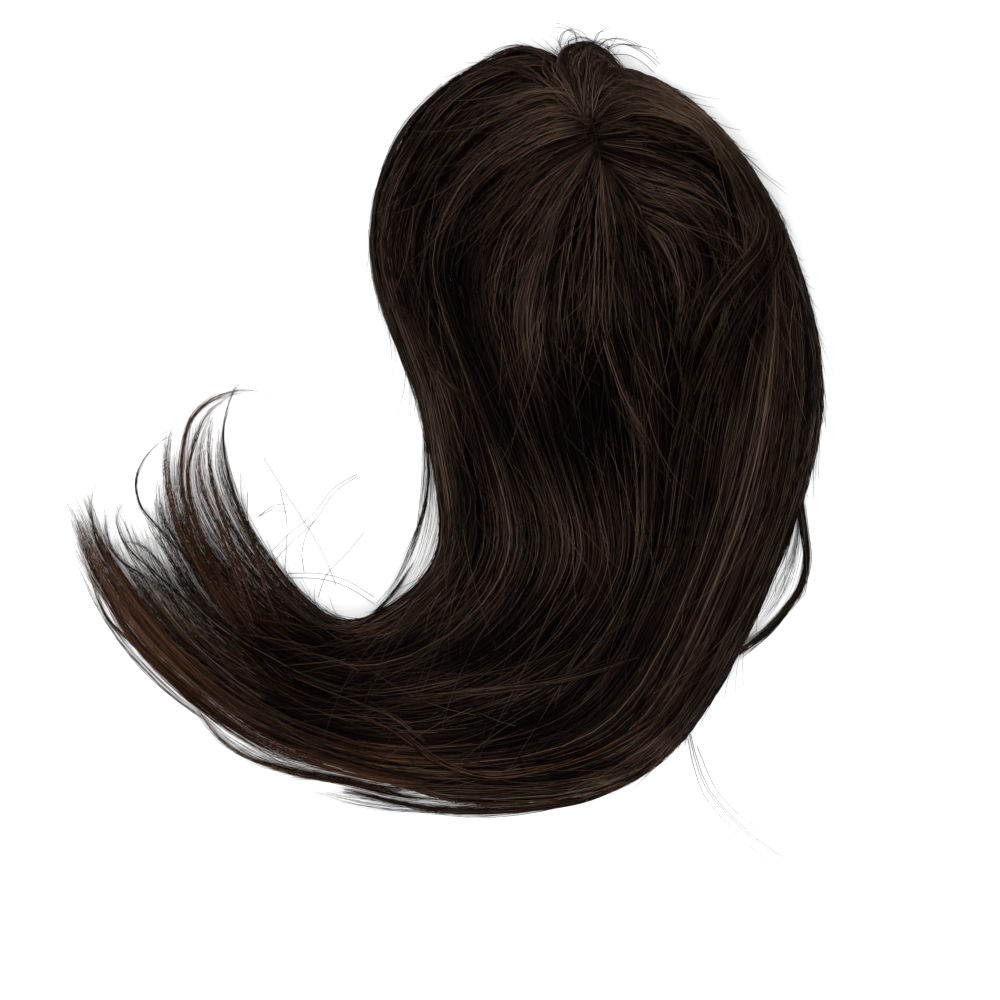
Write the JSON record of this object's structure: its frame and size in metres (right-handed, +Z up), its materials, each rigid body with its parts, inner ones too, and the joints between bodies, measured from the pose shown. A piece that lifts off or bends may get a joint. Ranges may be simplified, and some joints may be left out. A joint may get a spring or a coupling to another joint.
{
  "type": "hair topper",
  "caption": "Long straight dark hair, parted along a shallow oval base with snap clips under it, laid flat and swept round to one side with upturned ends.",
  "frame": {"origin": "on the table, under the middle of the whole as it lies", "axes": "+Z up from the table; +Y towards the front hairline of the base; +X to the right as seen from above, away from the side to which the ends are swept"},
  "size_m": [0.2964, 0.3092, 0.0483],
  "materials": {
    "hair": "dark brown human hair, satin sheen along the strands, a little redder at the ends",
    "base_net": "dark brown woven net, matt",
    "clip": "dark brown lacquer, semi-gloss"
  },
  "bodies": {
    "root": {"base": "base_net", "front_tuft": "hair", "top_fall": "hair", "right_curtain": "hair", "left_curtain": "hair", "right_swirl": "hair", "middle_fall": "hair", "side_lock": "hair", "under_lock": "hair", "clip_right": "clip", "clip_front": "clip", "clip_left": "clip", "clip_back": "clip"}
  },
  "joints": []
}
